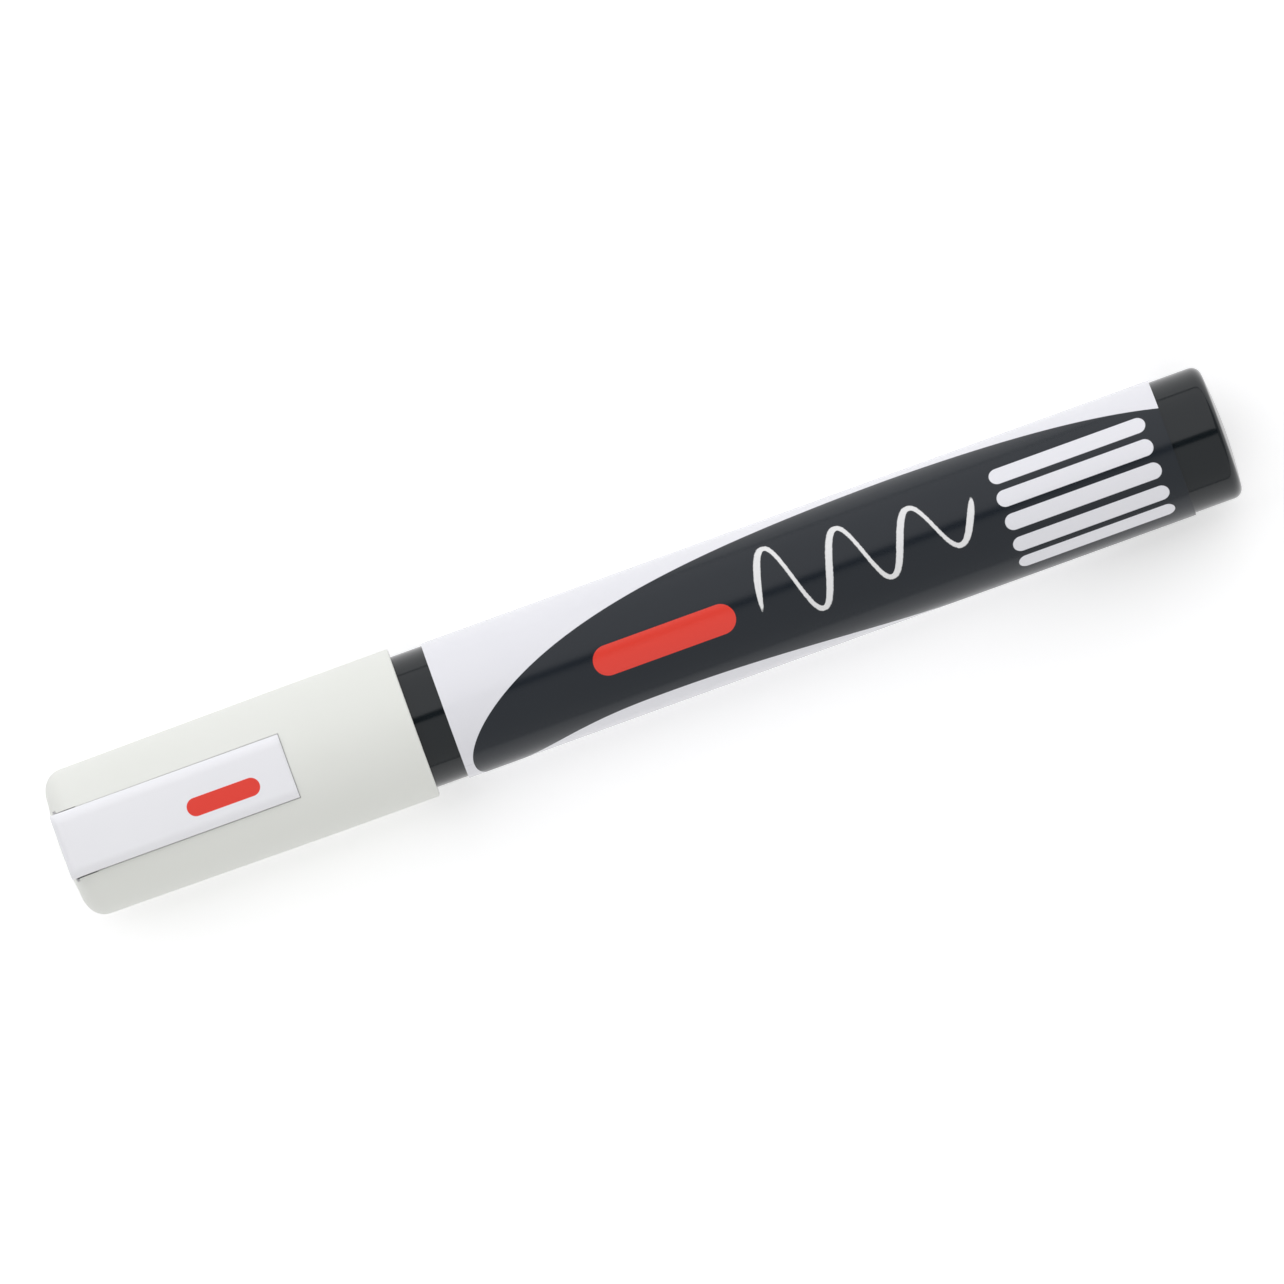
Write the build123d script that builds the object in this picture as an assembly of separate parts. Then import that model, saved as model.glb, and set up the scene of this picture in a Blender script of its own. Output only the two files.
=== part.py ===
# Liquid chalk marker: capped bullet nib, push-to-open ink valve, black barrel under a printed film.
# Millimetres. The marker lies along X, cap at -X and tail at +X, with the clip on top (+Z).
# The origin is on the surface that it lies on, below the middle of its length.

from build123d import *

import math
import os

# Lengths along the marker, from the cap's closed end to the tail
cap_length = 42.0
neck_show = 3.7  # black band of the barrel between the cap's mouth and the label
label_length = 86.5
tail_show = 6.3  # black end of the barrel behind the label

# Barrel and label
barrel_diameter = 15.5
barrel_wall = 1.25
barrel_edge = 0.3  # rounding of the barrel's front edge
land_height = 0.15  # the label lies on a land that is raised by this much
label_thickness = 0.1
tail_wall = 1.5
tail_dome = 0.55  # how far the tail's end face bulges
tail_rounding = 1.2
tank_rounding = 0.8  # at the closed end of the bore

# Fits
press_gap = 0.02  # between pieces that are pressed together
cap_gap = 0.2  # between the cap's bores and what they slide over
slide_gap = 0.05  # between the nib or the valve and what guides it

# Front section, from the barrel's front edge towards the nib
cap_overlap = 2.0  # how far the cap's mouth reaches over the barrel
flange_length = 1.4
flange_drop = 0.45  # the flange is this much lower than the barrel's surface
neck_drop = 0.9  # the neck is this much lower than the barrel's surface
bead_height = 0.25  # ring on the neck that the cap snaps over
bead_length = 1.6
bead_share = 0.49  # the ring starts at this share of the neck
shoulder_length = 0.8
seal_diameter = 9.7  # the inner cap's mouth seals on this
seal_length = 4.0
cone_step = 0.25  # from the seal down to the cone's wide end
cone_length = 7.8
tip_wall = 1.1  # plastic around the nib at the tip
tip_edge = 0.25
plug_length = 10.0  # the part inside the barrel
skirt_wall = 0.9
skirt_ribs = 2
rib_height = 0.12
rib_length = 1.2
core_gap = 0.65  # hollow between the skirt and the valve's tube
core_floor = 1.6  # plastic between the flange's back and that hollow
vent_count = 4  # grooves along the nib that let air in
vent_radius = 0.35
vent_length = 5.0

# Nib
nib_diameter = 4.0
nib_length = 21.0
nib_show = 5.0
nib_tip_radius = 1.0
nib_cone_angle = 25.0  # degrees, each side of the axis
nib_overhang = 2.0  # the nib's back end stands this far out of its bore

# Valve
forechamber_diameter = 5.4  # where the nib meets the valve's stem
forechamber_length = 5.0
valve_bore = 7.8
seat_thickness = 2.4
stem_diameter = 2.0
flow_gap = 0.35  # around the stem, where the ink passes
head_diameter = 4.6
head_thickness = 1.2
guide_pin_diameter = 1.7
guide_pin_margin = 0.7  # from the pin's end to the housing's back face
housing_length = 12.2
housing_wall = 0.8
housing_floor = 1.4
inlet_count = 4
inlet_diameter = 0.9

# Spring
spring_wire = 0.45
spring_diameter = 3.5  # to the middle of the wire
spring_turns = 6.5

# Mixing ball
ball_diameter = 5.5
ball_gap = 0.1  # to the wall of the barrel that it lies on

# Cap
cap_lip_wall = 0.8  # at the mouth
cap_taper = 0.2  # the closed end's radius is this much smaller than the mouth's
cap_land = 12.0  # straight end of the cap at its mouth, past the taper
cap_end_wall = 4.45
end_dome = 0.4  # bulge of the middle of the end face
end_curve_length = 2.6  # the rounded rim of the closed end, along the axis
end_curve_depth = 3.3  # and across it
mouth_bevel = 0.25  # outside edge of the mouth
mouth_rounding = 0.25  # and its inside edge
mouth_bore_length = 3.8
ledge_height = 0.55  # shoulder that the inner cap's flange sits on
snap_height = 0.2  # ring inside the cap
snap_length = 1.2

# Inner cap
cup_wall = 0.9
cup_floor = 1.0
cup_end_gap = 1.55  # between the cup's floor and the cap's end wall
cup_gap = 0.1  # between the cup and the cone's wide end
cup_room = 5.0  # free space in front of the nib
cup_rounding = 1.0
lip_overlap = 3.2  # length of the seal
cup_flange_length = 2.0
cup_flange_setback = 2.4  # from the mouth back to the flange

# Clip
clip_inset = 0.2  # from the middle of the cap's end to the clip's end
clip_length = 27.1
clip_width = 7.5
clip_rise = 1.35  # top of the clip above the cap's closed end
clip_edge_width = 1.8  # rounding of its long top edges, across
clip_edge_drop = 0.8  # and down
clip_end_edge = 0.7  # rounding of the top at both ends
clip_gap = 0.35  # between the underside, which follows the cap, and the cap
clip_root = 2.9  # length of the block that goes down into the cap's end
clip_corner = 0.3  # inside corner between the underside and that block
clip_slit = 0.2  # gap behind and below the block
side_slit = 0.12  # gap each side of it
nick_length = 1.0  # the notch is wider where it opens in the cap's end
nick_width = 0.28  # by this much each side
notch_depth = 3.05  # from the closed end's surface to the notch's floor
nub_length = 2.4  # nose under the clip's free end
nub_gap = 0.15  # from the nose to the cap
nub_bevel = 0.28  # at the nose's end
knuckle_diameter = 1.8  # round foot of the clip, held in a groove
knuckle_drop = 0.35  # its axis, below the notch's floor
tongue_thickness = 1.0
tongue_room = 0.15  # each side of the tongue, so that the clip can tilt

overrun = 1.0  # every cut runs this far past what it cuts
same_edge = 0.01  # an edge this near to a place or a radius is the one that is meant
arcs_per_turn = 4  # of the spring's path
gap_samples = 400  # points along the spring where its gap is measured

# Radii
barrel_radius = barrel_diameter / 2
bore_radius = barrel_radius - barrel_wall
land_radius = barrel_radius + land_height
label_radius = land_radius + label_thickness
nib_radius = nib_diameter / 2
nib_bore_radius = nib_radius + slide_gap
seal_radius = seal_diameter / 2
cone_radius = seal_radius - cone_step
neck_radius = barrel_radius - neck_drop
flange_radius = barrel_radius - flange_drop
valve_radius = valve_bore / 2
stem_radius = stem_diameter / 2
seat_hole_radius = stem_radius + flow_gap
head_radius = head_diameter / 2
ball_radius = ball_diameter / 2
cap_bore_radius = flange_radius + cap_gap
ledge_radius = cap_bore_radius - ledge_height
mouth_bore_radius = barrel_radius + cap_gap
cap_mouth_radius = mouth_bore_radius + cap_lip_wall
cap_end_radius = cap_mouth_radius - cap_taper
cup_bore_radius = cone_radius + cup_gap
knuckle_radius = knuckle_diameter / 2

# Places along the axis, from the closed end of the cap
cap_mouth = cap_length
label_start = cap_mouth + neck_show
label_end = label_start + label_length
marker_length = label_end + tail_show
barrel_front = cap_mouth - cap_overlap
flange_front = barrel_front - flange_length
plug_back = barrel_front + plug_length
tank_end = marker_length - tail_wall
cap_cavity = cap_end_wall
cup_end = cap_cavity + cup_end_gap
cup_front = cup_end + cup_floor
nib_tip = cup_front + cup_room
tip_front = nib_tip + nib_show
seal_front = tip_front + cone_length
seal_back = seal_front + seal_length
neck_front = seal_back + shoulder_length
neck_length = flange_front - neck_front  # the neck takes up what the cap's length leaves
bead_front = neck_front + bead_share * neck_length
nib_back = nib_tip + nib_length
chamber_front = nib_back - nib_overhang
seat_front = chamber_front + forechamber_length
seat_back = seat_front + seat_thickness
head_back = seat_back + slide_gap + head_thickness
housing_back = seat_back + housing_length
housing_floor_front = housing_back - housing_floor
cup_mouth = seal_front + lip_overlap
cup_flange_back = cup_mouth - cup_flange_setback
cup_flange_front = cup_flange_back - cup_flange_length

# Clip: its places along the axis, heights above it, and the axis that it tilts about
clip_end = clip_inset + clip_length
block_end = clip_inset + clip_root
clip_top = cap_end_radius + clip_rise
notch_floor = cap_end_radius - notch_depth
notch_width = clip_width + 2 * side_slit
block_bottom = notch_floor + clip_slit
knuckle_x = clip_inset + clip_root / 2
knuckle_z = notch_floor - knuckle_drop

# Everything is modelled about the X axis and then set down on the surface
set_down = Pos(-marker_length / 2, 0, cap_mouth_radius)


def turned(*outline):
    """Solid of revolution about X from the edges of a closed outline, given as places along X and radii."""
    upright = Rot(X=90) * make_face(outline)  # so that the seam of each surface is on top
    return revolve(upright, Axis.X)


def tube(start, end, inner, outer):
    """Plain ring or, with inner 0, plain disc, from start to end along X."""
    return turned(Polyline((start, inner), (end, inner), (end, outer), (start, outer), close=True))


def rod(start, length, radius):
    """Cylinder along X, on the axis."""
    return Pos(start, 0, 0) * Cylinder(
        radius, length, rotation=(0, 90, 0), align=(Align.CENTER, Align.CENTER, Align.MIN)
    )


def crossbar(radius, width):
    """Cylinder along Y, on the axis that the clip tilts about."""
    return Pos(knuckle_x, 0, knuckle_z) * Cylinder(radius, width, rotation=(90, 0, 0))


def rims(solid, place, radius):
    """Round edges of a solid at one place along X and of one radius."""
    found = []
    for edge in solid.edges().filter_by(GeomType.CIRCLE):
        at_place = abs(edge.arc_center.X - place) < same_edge
        if at_place and abs(edge.radius - radius) < same_edge:
            found.append(edge)
    return found


def cap_radius_at(place):
    """Outer radius of the cap's tapered wall at a place along X."""
    taper_start = end_dome + end_curve_length
    share = (place - taper_start) / (cap_mouth - cap_land - taper_start)
    return cap_end_radius + cap_taper * share


def make_barrel():
    dome_rim = marker_length - tail_dome
    body = turned(
        Polyline(
            (barrel_front, bore_radius),
            (barrel_front, barrel_radius),
            (label_start, barrel_radius),
            (label_start, land_radius),
            (label_end, land_radius),
            (label_end, barrel_radius),
            (dome_rim, barrel_radius),
        ),
        tail_arc(dome_rim, barrel_radius),
        Polyline(
            (marker_length, 0),
            (tank_end, 0),
            (tank_end, bore_radius),
            (barrel_front, bore_radius),
        ),
    )
    body = fillet(rims(body, dome_rim, barrel_radius), tail_rounding)
    body = fillet(rims(body, tank_end, bore_radius), tank_rounding)
    return fillet(rims(body, barrel_front, barrel_radius), barrel_edge)


def tail_arc(rim_place, rim_radius):
    """Shallow dome of the tail's end face, from its rim to the axis."""
    bulge = marker_length - rim_place
    sphere = (rim_radius**2 + bulge**2) / (2 * bulge)
    half_angle = math.asin(rim_radius / sphere) / 2
    middle = (
        marker_length - sphere * (1 - math.cos(half_angle)),
        sphere * math.sin(half_angle),
    )
    return ThreePointArc((rim_place, rim_radius), middle, (marker_length, 0))


def make_label_film():
    return tube(label_start, label_end, land_radius, label_radius)


def make_front_section():
    skirt_radius = bore_radius - press_gap - rib_height
    core_outer = skirt_radius - skirt_wall
    core_inner = core_outer - core_gap
    tip_radius = nib_radius + tip_wall
    section = turned(
        Polyline(
            (tip_front, nib_bore_radius),
            (tip_front, tip_radius),
            (seal_front, cone_radius),
            (seal_front, seal_radius),
            (seal_back, seal_radius),
            (neck_front, neck_radius),
            (flange_front, neck_radius),
            (flange_front, flange_radius),
            (barrel_front, flange_radius),
            (barrel_front, skirt_radius),
            (plug_back, skirt_radius),
            (plug_back, core_outer),
            (barrel_front + core_floor, core_outer),
            (barrel_front + core_floor, core_inner),
            (plug_back, core_inner),
            (plug_back, valve_radius),
            (seat_front, valve_radius),
            (seat_front, forechamber_diameter / 2),
            (chamber_front, forechamber_diameter / 2),
            (chamber_front, nib_bore_radius),
            close=True,
        )
    )
    section = fillet(rims(section, tip_front, tip_radius), tip_edge)
    section += bulged_ring(bead_front, bead_length, neck_radius, bead_height)
    for rib in range(skirt_ribs):
        rib_front = barrel_front + (rib + 1) * plug_length / (skirt_ribs + 1) - rib_length / 2
        section += bulged_ring(rib_front, rib_length, skirt_radius, rib_height)
    groove = Pos(0, 0, nib_bore_radius) * rod(tip_front - overrun, vent_length + overrun, vent_radius)
    for vent in range(vent_count):
        section -= Rot(X=360 * vent / vent_count) * groove
    return section


def bulged_ring(start, length, radius, height):
    """Ring of round section that stands out of a cylinder of this radius by this height."""
    sunk = radius - height
    arc = ThreePointArc((start, radius), (start + length / 2, radius + height), (start + length, radius))
    foot = Polyline((start + length, radius), (start + length, sunk), (start, sunk), (start, radius))
    return turned(arc, foot)


def make_nib():
    lean = math.radians(nib_cone_angle)
    ball_centre = nib_tip + nib_tip_radius
    half_turn = (math.pi / 2 - lean) / 2
    tangent_x = ball_centre - nib_tip_radius * math.sin(lean)
    tangent_r = nib_tip_radius * math.cos(lean)
    cone_end = tangent_x + (nib_radius - tangent_r) / math.tan(lean)
    tip_middle = (
        ball_centre - nib_tip_radius * math.cos(half_turn),
        nib_tip_radius * math.sin(half_turn),
    )
    return turned(
        ThreePointArc((nib_tip, 0), tip_middle, (tangent_x, tangent_r)),
        Polyline(
            (tangent_x, tangent_r),
            (cone_end, nib_radius),
            (nib_back, nib_radius),
            (nib_back, 0),
            (nib_tip, 0),
        ),
    )


def make_valve_seat():
    """Ring with a 45 degree seat that the valve's head closes."""
    outer = valve_radius - press_gap
    seat_depth = head_radius - seat_hole_radius
    return turned(
        Polyline(
            (seat_front, seat_hole_radius),
            (seat_front, outer),
            (seat_back, outer),
            (seat_back, head_radius),
            (seat_back - seat_depth, seat_hole_radius),
            close=True,
        )
    )


def make_valve_stem():
    """Stem that the nib pushes, with a conical head behind the seat and a guide pin in the spring."""
    stem_front = nib_back + slide_gap
    cone_back = seat_back + slide_gap
    cone_front = cone_back - (head_radius - stem_radius)
    pin_end = housing_back - guide_pin_margin
    return turned(
        Polyline(
            (stem_front, 0),
            (stem_front, stem_radius),
            (cone_front, stem_radius),
            (cone_back, head_radius),
            (head_back, head_radius),
            (head_back, guide_pin_diameter / 2),
            (pin_end, guide_pin_diameter / 2),
            (pin_end, 0),
            close=True,
        )
    )


def make_valve_housing():
    """Cup behind the seat that holds the spring and lets ink in through holes in its floor."""
    outer = valve_radius - press_gap
    inner = outer - housing_wall
    pin_hole = guide_pin_diameter / 2 + slide_gap
    cup = turned(
        Polyline(
            (seat_back, inner),
            (seat_back, outer),
            (housing_back, outer),
            (housing_back, pin_hole),
            (housing_floor_front, pin_hole),
            (housing_floor_front, inner),
            close=True,
        )
    )
    spring_outside = (spring_diameter + spring_wire) / 2
    inlet_circle = (spring_outside + inner) / 2
    drill = rod(housing_floor_front - overrun, housing_floor + 2 * overrun, inlet_diameter / 2)
    for inlet in range(inlet_count):
        cup -= Rot(X=360 * inlet / inlet_count) * Pos(0, 0, inlet_circle) * drill
    return cup


def make_valve_spring():
    """Open coil between the valve's head and the housing's floor, one wire along arcs of a helix."""
    coil_start = head_back + slide_gap + spring_wire / 2
    coil_end = housing_floor_front - slide_gap - spring_wire / 2
    pitch = (coil_end - coil_start) / spring_turns
    radius = spring_diameter / 2
    rise = pitch / (2 * math.pi)

    def point(turn):
        angle = 2 * math.pi * turn
        return Vector(coil_start + pitch * turn, radius * math.cos(angle), radius * math.sin(angle))

    def heading(turn):
        angle = 2 * math.pi * turn
        return Vector(rise, -radius * math.sin(angle), radius * math.cos(angle)).normalized()

    arc_count = round(arcs_per_turn * spring_turns)
    steps = [spring_turns * step / arc_count for step in range(arc_count + 1)]
    arcs = []
    for start, end in zip(steps, steps[1:]):
        arcs += biarc(point(start), heading(start), point(end), heading(end))
    section = Plane(origin=point(0), z_dir=heading(0)) * Circle(spring_wire / 2)
    print_coil_gap([point(spring_turns * step / gap_samples) for step in range(gap_samples + 1)])
    return sweep(section, path=Wire(arcs))


def biarc(start, start_heading, end, end_heading):
    """Two arcs that join two points with these headings and meet smoothly."""
    chord = end - start
    both = start_heading + end_heading
    bend = 2 * (1 - start_heading.dot(end_heading))
    along = chord.dot(both)
    reach = (math.sqrt(along**2 + bend * chord.dot(chord)) - along) / bend
    first_handle = start + start_heading * reach
    last_handle = end - end_heading * reach
    joint = (first_handle + last_handle) / 2
    joint_heading = (last_handle - first_handle).normalized()
    return [
        Edge.make_tangent_arc(start, start_heading, joint),
        Edge.make_tangent_arc(joint, joint_heading, end),
    ]


def print_coil_gap(points):
    """Prints the least gap between neighbouring turns of the spring."""
    half_turn = round(len(points) / spring_turns / 2)
    least = min(
        (points[late] - points[early]).length
        for early in range(len(points))
        for late in range(early + half_turn, len(points))
    )
    print("least gap between the spring's turns", round(least - spring_wire, 3))


def make_mixing_ball():
    place = (plug_back + tank_end) / 2
    return Pos(place, 0, ball_radius + ball_gap - bore_radius) * Sphere(ball_radius)


def make_cap_shell():
    rim_centre = end_dome + end_curve_length
    rim_radius = cap_end_radius - end_curve_depth
    dome_middle = (end_dome / 4, rim_radius / 2)
    snap_front = bead_front - snap_length
    shell = turned(
        ThreePointArc((0, 0), dome_middle, (end_dome, rim_radius)),
        EllipticalCenterArc(
            (rim_centre, rim_radius),
            end_curve_length,
            end_curve_depth,
            start_angle=90,
            arc_size=90,
        ),
        Polyline(
            (rim_centre, cap_end_radius),
            (cap_mouth - cap_land, cap_mouth_radius),
            (cap_mouth, cap_mouth_radius),
            (cap_mouth, mouth_bore_radius),
            (cap_mouth - mouth_bore_length, mouth_bore_radius),
            (cap_mouth - mouth_bore_length, cap_bore_radius),
            (cup_flange_front, cap_bore_radius),
            (cup_flange_front, ledge_radius),
            (cap_cavity, ledge_radius),
            (cap_cavity, 0),
            (0, 0),
        ),
    )
    shell = chamfer(rims(shell, cap_mouth, cap_mouth_radius), mouth_bevel)
    shell = fillet(rims(shell, cap_mouth, mouth_bore_radius), mouth_rounding)
    ring_inside = neck_radius + bead_height + slide_gap
    shell += tube(snap_front, snap_front + snap_length, ring_inside, cap_bore_radius + snap_height)
    return shell - clip_notch()


def clip_notch():
    """Open notch in the cap's end for the clip's block, with a groove in its floor for the clip's foot."""
    height = clip_top + overrun - notch_floor
    seat = (Align.MIN, Align.CENTER, Align.MIN)
    at_end = Pos(-overrun, 0, notch_floor)
    block = at_end * Box(overrun + block_end + clip_slit, notch_width, height, align=seat)
    nick = at_end * Box(overrun + nick_length, notch_width + 2 * nick_width, height, align=seat)
    throat = Pos(knuckle_x, 0, knuckle_z) * Box(
        tongue_thickness + 2 * tongue_room,
        notch_width,
        knuckle_drop + overrun,
        align=(Align.CENTER, Align.CENTER, Align.MIN),
    )
    groove = crossbar(knuckle_radius + slide_gap, notch_width)
    return block + nick + throat + groove


def make_inner_cap():
    """Thin cup that seals on the front section, held in the cap by a flange."""
    lip_radius = seal_radius + slide_gap
    cup_radius = cup_bore_radius + cup_wall
    lip_front = seal_front - cap_gap
    cup = turned(
        Polyline(
            (cup_end, 0),
            (cup_end, cup_radius),
            (cup_flange_front, cup_radius),
            (cup_flange_front, cap_bore_radius - press_gap),
            (cup_flange_back, cap_bore_radius - press_gap),
            (cup_flange_back, cup_radius),
            (cup_mouth, cup_radius),
            (cup_mouth, lip_radius),
            (lip_front, lip_radius),
            (lip_front, cup_bore_radius),
            (cup_front, cup_bore_radius),
            (cup_front, 0),
            close=True,
        )
    )
    return fillet(rims(cup, cup_end, cup_radius), cup_rounding)


def make_cap_clip():
    """Sprung strip that hugs the cap, with a block and a round foot that hold it in the cap's end."""
    half = clip_width / 2
    flat = half - clip_edge_width
    shoulder = clip_top - clip_edge_drop
    across = make_face(
        [
            Polyline((half, shoulder), (half, block_bottom), (-half, block_bottom), (-half, shoulder)),
            TangentArc((-flat, clip_top), (-half, shoulder), tangent=(-1, 0)),
            Line((-flat, clip_top), (flat, clip_top)),
            TangentArc((flat, clip_top), (half, shoulder), tangent=(1, 0)),
        ]
    )
    strip = extrude(Plane.YZ * across, clip_end)
    bar = Pos(clip_inset, 0, block_bottom) * Box(
        clip_length,
        clip_width,
        clip_top - block_bottom,
        align=(Align.MIN, Align.CENTER, Align.MIN),
    )
    bar = fillet(bar.edges().filter_by(Axis.Y).group_by(Axis.Z)[-1], clip_end_edge)
    tongue = Pos(knuckle_x, 0, knuckle_z) * Box(
        tongue_thickness,
        clip_width,
        block_bottom - knuckle_z + press_gap,
        align=(Align.CENTER, Align.CENTER, Align.MIN),
    )
    return (strip & bar) - clip_hollow() + tongue + crossbar(knuckle_radius, clip_width)


def clip_hollow():
    """Round space below the clip: wider than the cap by the clip's gap, and by less at the nose."""
    corner = block_end + clip_corner
    corner_radius = cap_radius_at(corner) + clip_gap
    nub_start = clip_end - nub_length
    nub_middle = clip_end - nub_length / 2
    nub_foot = cap_radius_at(nub_middle) + nub_gap
    return turned(
        CenterArc((corner, corner_radius - clip_corner), clip_corner, 90, 90),
        Polyline(
            (corner, corner_radius),
            (nub_start, cap_radius_at(nub_start) + clip_gap),
            (nub_middle, nub_foot),
            (clip_end, nub_foot + nub_bevel),
            (clip_end + overrun, nub_foot + nub_bevel),
            (clip_end + overrun, 0),
            (block_end, 0),
            (block_end, corner_radius - clip_corner),
        ),
    )


pieces = {
    "barrel": make_barrel,
    "label_film": make_label_film,
    "front_section": make_front_section,
    "nib": make_nib,
    "valve_seat": make_valve_seat,
    "valve_stem": make_valve_stem,
    "valve_housing": make_valve_housing,
    "valve_spring": make_valve_spring,
    "mixing_ball": make_mixing_ball,
    "cap_shell": make_cap_shell,
    "inner_cap": make_inner_cap,
    "cap_clip": make_cap_clip,
}

os.makedirs("parts", exist_ok=True)
for name, make in pieces.items():
    export_step(set_down * make(), os.path.join("parts", name + ".step"))

print("clip tilts about x", knuckle_x - marker_length / 2, "z", knuckle_z + cap_mouth_radius)
print("axis height", cap_mouth_radius, "label radius", label_radius)
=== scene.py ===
import bmesh
import bpy
import math
from mathutils import Matrix, Vector


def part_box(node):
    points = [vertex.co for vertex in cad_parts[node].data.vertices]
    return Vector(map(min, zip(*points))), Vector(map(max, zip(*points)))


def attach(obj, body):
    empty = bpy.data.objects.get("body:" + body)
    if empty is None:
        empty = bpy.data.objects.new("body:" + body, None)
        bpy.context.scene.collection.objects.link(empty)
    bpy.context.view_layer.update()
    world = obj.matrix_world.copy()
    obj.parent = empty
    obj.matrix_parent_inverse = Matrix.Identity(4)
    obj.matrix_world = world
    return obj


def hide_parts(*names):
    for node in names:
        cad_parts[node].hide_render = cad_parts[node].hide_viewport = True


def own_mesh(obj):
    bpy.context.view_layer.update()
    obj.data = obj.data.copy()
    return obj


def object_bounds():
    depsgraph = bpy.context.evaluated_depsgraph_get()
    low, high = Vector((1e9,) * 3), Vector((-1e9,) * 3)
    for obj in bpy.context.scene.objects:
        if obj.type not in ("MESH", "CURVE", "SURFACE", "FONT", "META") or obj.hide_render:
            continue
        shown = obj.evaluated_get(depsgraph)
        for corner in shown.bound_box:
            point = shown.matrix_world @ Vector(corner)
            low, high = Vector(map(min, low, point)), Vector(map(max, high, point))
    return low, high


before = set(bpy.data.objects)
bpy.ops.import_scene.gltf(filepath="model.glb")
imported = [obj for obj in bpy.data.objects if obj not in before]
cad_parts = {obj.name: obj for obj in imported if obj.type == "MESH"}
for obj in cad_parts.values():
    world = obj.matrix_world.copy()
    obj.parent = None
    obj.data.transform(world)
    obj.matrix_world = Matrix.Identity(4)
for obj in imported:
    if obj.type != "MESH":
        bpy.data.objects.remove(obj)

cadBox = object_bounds()
mm = 0.001
overrun = 1  # mm that a cutter starts outside its piece
fullTurn = 2 * math.pi
markerStart = cadBox[0].x  # the cap's closed end; places along the marker are mm from here
scene = bpy.context.scene


def reach(node):  # a CAD piece's first and last place along the marker and its radius, in mm
    low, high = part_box(node)
    return (low.x - markerStart) / mm, (high.x - markerStart) / mm, (high.y - low.y) / 2 / mm


def middleHeight(node):  # metres
    low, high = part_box(node)
    return (low.z + high.z) / 2


axisHeight = middleHeight("label_film")
labelStart, labelEnd, labelRadius = reach("label_film")
capStart, capMouth, capMouthRadius = reach("cap_shell")


# Node trees, written as Python

class Wire:  # one socket of a node tree
    def __init__(self, socket):
        self.socket = socket
        self.tree = socket.id_data

    @staticmethod
    def add(tree, kind, settings=None, feeds=None, out=0):
        node = tree.nodes.new(kind)
        for name, value in (settings or {}).items():
            setattr(node, name, value)
        for name, value in (feeds or {}).items():
            if isinstance(value, Wire):
                tree.links.new(value.socket, node.inputs[name])
            else:
                node.inputs[name].default_value = value
        return Wire(node.outputs[out])

    def into(self, socket):
        self.tree.links.new(self.socket, socket)

    def calc(self, operation, *others, clamp=False):
        feeds = dict(enumerate((self,) + others))
        return Wire.add(self.tree, "ShaderNodeMath", {"operation": operation, "use_clamp": clamp}, feeds)

    def __add__(self, other):
        return self.calc("ADD", other)

    __radd__ = __add__

    def __sub__(self, other):
        return self.calc("SUBTRACT", other)

    def __rsub__(self, other):
        return (self * -1).calc("ADD", other)

    def __mul__(self, other):
        return self.calc("MULTIPLY", other)

    __rmul__ = __mul__

    def __truediv__(self, other):
        return self.calc("DIVIDE", other)

    def __rtruediv__(self, other):
        return self.calc("POWER", -1) * other

    def __pow__(self, other):
        return self.calc("POWER", other)

    def __abs__(self):
        return self.calc("ABSOLUTE")


def openTree(name, wanted):  # a Geometry Nodes tree and the wires of its named inputs
    tree = bpy.data.node_groups.new(name, "GeometryNodeTree")
    for label, kind in wanted.items():
        tree.interface.new_socket(label, in_out="INPUT", socket_type="NodeSocket" + kind)
    tree.interface.new_socket("Geometry", in_out="OUTPUT", socket_type="NodeSocketGeometry")
    group = tree.nodes.new("NodeGroupInput")
    return tree, {label: Wire(group.outputs[label]) for label in wanted}


def closeTree(tree, shape, finish):
    whole = Wire.add(tree, "GeometryNodeRealizeInstances", feeds={"Geometry": shape})
    dressed = Wire.add(tree, "GeometryNodeSetMaterial", feeds={"Geometry": whole, "Material": finish})
    dressed.into(tree.nodes.new("NodeGroupOutput").inputs[0])
    return tree


def layAlongMarker(tree, shape, start, height):  # turns what was made along Z to lie along the marker
    spot = Wire.add(tree, "ShaderNodeCombineXYZ", feeds={"X": start, "Z": height})
    return Wire.add(
        tree,
        "GeometryNodeTransform",
        feeds={"Geometry": shape, "Translation": spot, "Rotation": (0, math.pi / 2, 0)},
    )


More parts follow.
